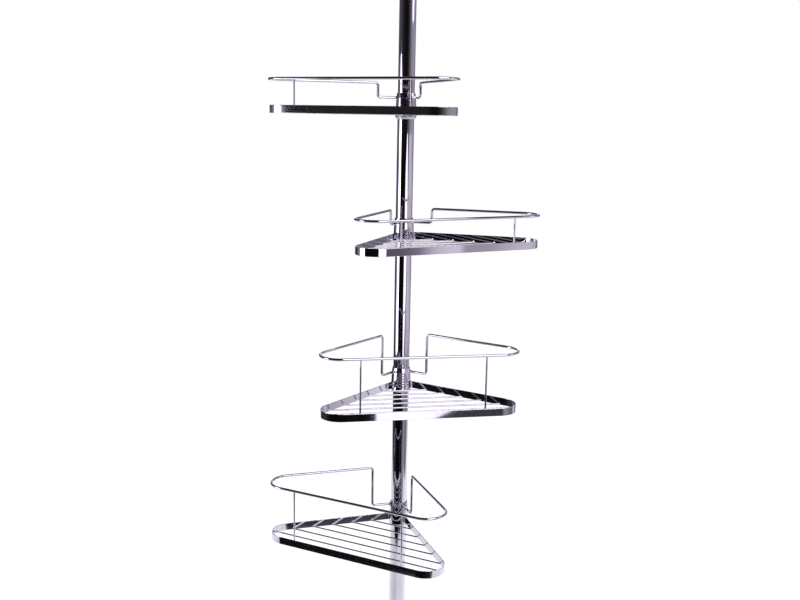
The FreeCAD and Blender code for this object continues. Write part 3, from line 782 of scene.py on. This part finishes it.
def room_light(graph, direction):
    """The room's colour in a direction: the walls, and a dark ceiling."""
    azimuth = azimuth_of(graph, direction)
    length = graph.add("VectorMath", direction, operation="LENGTH").outputs["Value"]
    steepness = graph.math("DIVIDE", graph.add("SeparateXYZ", direction).outputs["Z"], length)
    raised = graph.fade(steepness, math.sin(math.radians(-14)), math.sin(math.radians(-2)))
    walls = graph.mix(
        raised, ramp_of(graph, azimuth, LOW_WALLS, ROOM_TINT), ramp_of(graph, azimuth, HIGH_WALLS, ROOM_TINT))
    overhead = graph.fade(steepness, math.sin(math.radians(22)), math.sin(math.radians(40)))
    return graph.mix(overhead, walls, (0.045, 0.04, 0.05, 1))


def reflected(graph):
    """1 for rays that left metal or glass, 0 for others."""
    path = graph.add("LightPath").outputs
    return graph.math("MAXIMUM", path["Is Glossy Ray"], path["Is Transmission Ray"])


def make_world():
    """White behind the object, the studio's room in its reflections, and an even soft fill."""
    world = bpy.data.worlds.new("studio")
    bpy.context.scene.world = world
    world.use_nodes = True
    graph = Graph(world.node_tree)
    background = world.node_tree.nodes["Background"]
    room = room_light(graph, graph.add("TexCoord").outputs["Generated"])
    fill = graph.mix(graph.add("LightPath").outputs["Is Camera Ray"], (0.78, 0.78, 0.80, 1), WHITE)
    graph.feed(background.inputs["Color"], graph.mix(reflected(graph), fill, room))
    background.inputs["Strength"].default_value = 1.0


def make_floor():
    """A pale paper floor: it keeps the shadow. For reflected rays it glows with painted light instead of
    being lit: the paper's levels where the paper lies, and the room's walls beyond it.
    """
    material = bpy.data.materials.new("paper_floor")
    material.use_nodes = True
    graph = Graph(material.node_tree)
    shader = material.node_tree.nodes["Principled BSDF"]
    output = material.node_tree.nodes["Material Output"]
    shader.inputs["Base Color"].default_value = (0.93, 0.93, 0.94, 1)
    shader.inputs["Roughness"].default_value = 0.9
    shader.inputs["Specular IOR Level"].default_value = 0.1
    place = graph.add("NewGeometry").outputs["Position"]
    away = graph.add("VectorMath", place, operation="LENGTH").outputs["Value"]
    lift = graph.add("Emission", WHITE)
    lifted = graph.fade(away, LIFT_START, LIFT_END, LIFT_LOW, LIFT_HIGH)
    graph.feed(lift.inputs["Strength"], graph.math(
        "MULTIPLY", graph.add("LightPath").outputs["Is Camera Ray"], lifted))
    seen = graph.add("AddShader", shader.outputs[0], lift.outputs[0]).outputs[0]
    on_paper = 1.0
    for inwards, reach, soft in PAPER_EDGES:
        along = graph.add("VectorMath", place, (*inwards, 0), operation="DOT_PRODUCT").outputs["Value"]
        on_paper = graph.math("MULTIPLY", on_paper, graph.fade(along, reach - soft, reach + soft))
    # Painted light: for reflected rays the floor glows with the paper's brightness by azimuth, and with the
    # room's walls beyond the paper, rather than being lit.
    paper = ramp_of(graph, azimuth_of(graph, place), PAINTED_PAPER_LIGHT, PAPER_TINT)
    painted_room_beyond = ramp_of(graph, azimuth_of(graph, place), LOW_WALLS, ROOM_TINT)
    ground = graph.mix(on_paper, painted_room_beyond, paper)
    painted_glow_shader = graph.add("Emission", ground).outputs[0]
    both = graph.add("MixShader", reflected(graph), seen, painted_glow_shader).outputs[0]
    graph.tree.links.new(both, output.inputs["Surface"])
    half = FLOOR_SIZE / 2
    mesh = bpy.data.meshes.new("floor")
    corners = [(-half, -half, 0), (half, -half, 0), (half, half, 0), (-half, half, 0)]
    mesh.from_pydata(corners, [], [(0, 1, 2, 3)])
    mesh.materials.append(material)
    floor = bpy.data.objects.new("floor", mesh)
    bpy.context.scene.collection.objects.link(floor)


def make_panel(name, azimuth, distance, corners, levels):
    """A lit panel that only reflections see: it stands at an azimuth round the pole, facing it.

    Its corners are (across, height, rounding), and its levels are (across, brightness), all
    across from its middle and in metres. Its light has the room's tint.
    """
    material = bpy.data.materials.new(name)
    material.use_nodes = True
    graph = Graph(material.node_tree)
    across = graph.add("SeparateXYZ", graph.add("TexCoord").outputs["Object"]).outputs["X"]
    lamp = graph.add("Emission", ramp_of(graph, across, levels, ROOM_TINT), 1.0)
    graph.tree.links.new(lamp.outputs[0], material.node_tree.nodes["Material Output"].inputs["Surface"])
    outline = rounded_outline(corners)
    mesh = bpy.data.meshes.new(name)
    mesh.from_pydata([(p.x, 0, p.y) for p in outline], [], [tuple(range(len(outline)))])
    mesh.materials.append(material)
    panel = bpy.data.objects.new(name, mesh)
    bpy.context.scene.collection.objects.link(panel)
    angle = math.radians(azimuth)
    panel.location = (distance * math.sin(angle), -distance * math.cos(angle), 0)
    panel.rotation_euler = (0, 0, angle)
    panel.visible_camera = False
    panel.visible_diffuse = False
    panel.visible_shadow = False


def upright_corners(half_width, low, high, rounding):
    """Corners of an upright rectangle."""
    return [
        (-half_width, low, rounding), (half_width, low, rounding),
        (half_width, high, rounding), (-half_width, high, rounding),
    ]


def make_lamp(name, location, size, power):
    """A soft lamp aimed at the pole's middle, which the chrome doesn't see."""
    lamp = bpy.data.lights.new(name, "AREA")
    lamp.shape = "DISK"
    lamp.size = size
    lamp.energy = power
    holder = bpy.data.objects.new(name, lamp)
    bpy.context.scene.collection.objects.link(holder)
    holder.location = location
    aim = Vector((0, 0, 1.0)) - Vector(location)
    holder.rotation_euler = aim.to_track_quat("-Z", "Y").to_euler()
    holder.visible_glossy = False


CAMERA_DISTANCE = 1.4724
CAMERA_RISE = -0.0055
CAMERA_PITCH = 10.473
CAMERA_YAW = -0.145
CAMERA_ROLL = 1.046
CAMERA_LENS = 43.99


def make_camera():
    """The photographer's camera: level with the top basket, looking down a little."""
    pitch, yaw, roll = (math.radians(a) for a in (CAMERA_PITCH, CAMERA_YAW, CAMERA_ROLL))
    forward = Vector((math.sin(yaw) * math.cos(pitch), math.cos(yaw) * math.cos(pitch), -math.sin(pitch)))
    level = Vector((math.cos(yaw), -math.sin(yaw), 0))
    upright = level.cross(forward)
    right = level * math.cos(roll) + upright * math.sin(roll)
    up = upright * math.cos(roll) - level * math.sin(roll)
    lens = bpy.data.cameras.new("camera")
    lens.lens = CAMERA_LENS
    lens.sensor_width = 36
    camera = bpy.data.objects.new("camera", lens)
    bpy.context.scene.collection.objects.link(camera)
    matrix = Matrix((right, up, -forward)).transposed().to_4x4()
    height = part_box("top_rim_strip")[0].z + CAMERA_RISE
    matrix.translation = Vector((0, -CAMERA_DISTANCE, height))
    camera.matrix_world = matrix
    bpy.context.scene.camera = camera


# ---------------------------------------------------------------- the whole unit
for member in frame["record"]["subparts"]:
    node = frame["nodes"][member["node"]]
    node.data.materials.clear()
    node.data.materials.append(MATERIALS[member["material_slot"]])

make_foot()
for tube in ("lower_tube", "middle_tube", "upper_tube"):
    make_tube(tube.replace("tube", "pole"), tube, "pole", TUBE_RADIUS, TUBE_WALL)
make_tube("extension_pole", "extension_tube", "extension", EXTENSION_RADIUS, EXTENSION_WALL)
make_tube("plunger_pole", "plunger_tube", "plunger", PLUNGER_RADIUS, PLUNGER_WALL)
make_lock_nut()
make_upper_end()
make_spring()
for shelf in SHELVES:
    make_basket(shelf)

make_world()
make_floor()
make_panel("left_softbox", -77.5, 1.8, [
    (-1.50, 0.56, 0.2), (0.62, 0.56, 0.1), (0.62, 1.20, 0.1), (0.575, 1.30, 0.05), (0.575, 1.42, 0.02),
    (0.36, 1.48, 0.1), (0.0, 1.56, 0.1), (-1.50, 1.56, 0.2),
], [
    (-1.5, 0.20), (-1.0, 0.20), (-0.75, 0.30), (-0.42, 0.60), (-0.30, 0.90), (-0.20, 4.5), (0.54, 4.5),
    (0.62, 2.0),
])
make_panel("front_reflector", 29, 1.5, [
    (-0.309, 0.46, 0.01), (-0.175, 0.50, 0.02), (-0.08, 0.56, 0.02), (0.20, 0.70, 0.1), (0.44, 0.84, 0.1),
    (0.46, 1.08, 0.15), (0.10, 1.31, 0.15), (-0.14, 1.31, 0.1), (-0.46, 1.19, 0.1), (-0.47, 0.80, 0.1),
    (-0.309, 0.58, 0.01),
], [(-0.5, 1.8), (0.5, 1.8)])
make_panel("right_panel", 60, 2.0, [
    (-0.50, 0.45, 0.05), (2.00, 0.45, 0.05), (2.00, 1.30, 0.05), (-0.50, 1.30, 0.05),
], [
    (-0.50, 0.12), (-0.36, 0.14), (-0.30, 0.22), (-0.24, 0.70), (-0.18, 0.90), (-0.155, 0.90),
    (-0.145, 0.44), (-0.06, 0.48), (0.06, 0.80), (1.30, 0.66), (2.00, 0.54),
])
make_panel("high_softbox", 80, 2.0, upright_corners(0.55, 1.68, 2.40, 0.35), [(-0.6, 3.0), (0.6, 3.0)])
make_panel("overhead_softbox", 36, 1.5, upright_corners(0.75, 1.85, 3.0, 0.4), [(-0.8, 6.0), (0.8, 6.0)])
make_lamp("key", (-1.6, -2.0, 2.6), 1.2, 30)
make_lamp("side", (2.4, -1.0, 1.8), 1.0, 12)
make_camera()

scene = bpy.context.scene
scene.view_settings.view_transform = "Standard"
